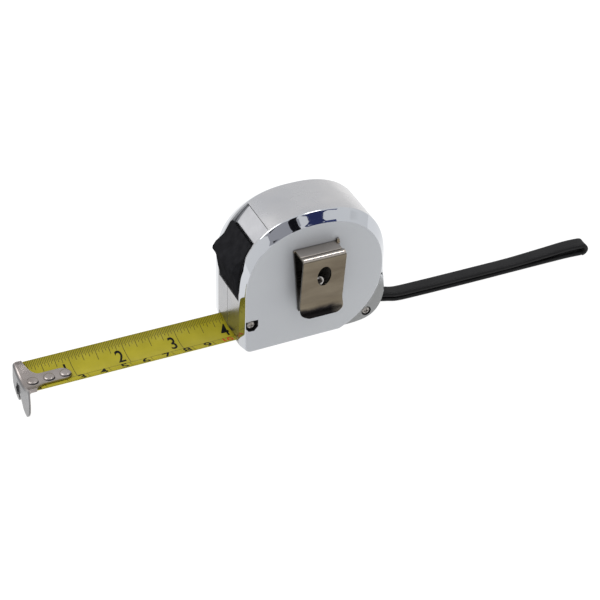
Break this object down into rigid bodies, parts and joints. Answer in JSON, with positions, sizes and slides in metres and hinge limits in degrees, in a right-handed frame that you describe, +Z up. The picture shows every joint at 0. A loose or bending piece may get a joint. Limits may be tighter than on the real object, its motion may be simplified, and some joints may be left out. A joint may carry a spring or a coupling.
{
  "type": "tape measure",
  "caption": "Pocket tape measure: chromed D-shaped case, black sliding lock, yellow curved blade with a two-pronged end hook, spring belt clip and black wrist strap",
  "frame": {"origin": "middle of the flat bottom of the case, straight below the spool's axis", "axes": "+X to the rear of the case, away from the hook; +Y away from the belt clip; +Z up"},
  "size_m": [0.2776, 0.045, 0.0784],
  "materials": {
    "chrome_case": "gloss",
    "nickel_sheet": "gloss",
    "screw_steel": "satin",
    "spring_steel": "satin",
    "button_plastic": "matte",
    "inner_plastic": "matte",
    "pad_rubber": "matte",
    "blade_paint": "satin",
    "strap_vinyl": "satin"
  },
  "bodies": {
    "case": {"case_near": "chrome_case", "case_far": "chrome_case", "lock_track_plate": "chrome_case", "lock_detent_spring": "spring_steel", "mainspring": "spring_steel", "spool_post": "screw_steel", "post_rivet": "screw_steel", "thrust_washer": "screw_steel", "blade_lead": "blade_paint", "clip_base": "nickel_sheet", "case_screw_front": "screw_steel", "case_screw_rear": "screw_steel", "clip_screw": "screw_steel", "wrist_strap": "strap_vinyl", "strap_anchor_pin": "screw_steel"},
    "lock": {"lock_button": "button_plastic", "lock_foot": "inner_plastic", "brake_pad": "pad_rubber"},
    "spool": {"spool_drum": "inner_plastic", "spool_cover": "inner_plastic", "blade_coil": "blade_paint"},
    "blade": {"blade": "blade_paint", "hook_rivet_1": "nickel_sheet", "hook_rivet_2": "nickel_sheet", "hook_rivet_3": "nickel_sheet"},
    "hook": {"hook": "nickel_sheet"},
    "clip": {"clip_leaf": "nickel_sheet"}
  },
  "joints": [
    {"name": "blade_slide", "type": "slide", "parent": "case", "child": "blade", "axis": [1, 0, 0], "range_m": [0, 0.094], "deforming": ["blade", "blade_lead"]},
    {"name": "hook_play", "type": "slide", "parent": "blade", "child": "hook", "axis": [-1, 0, 0], "range_m": [0, 0.0008]},
    {"name": "spool_turn", "type": "hinge", "parent": "case", "child": "spool", "pos_m": [0, 0, 0.0315], "axis": [0, 1, 0], "range_deg": [-204, 1]},
    {"name": "lock_slide", "type": "hinge", "parent": "case", "child": "lock", "pos_m": [-0.0015, 0, 0.034], "axis": [0, 1, 0], "range_deg": [0, 11.5]},
    {"name": "clip_flex", "type": "hinge", "parent": "case", "child": "clip", "pos_m": [-0.0012, -0.0244, 0.0501], "axis": [-1, 0, 0], "range_deg": [0, 6], "stiffness_Nm_per_rad": 0.6}
  ],
  "couplings": [
    {"joint": "spool_turn", "follows": "blade_slide", "rad_per_m": -37.6}
  ]
}
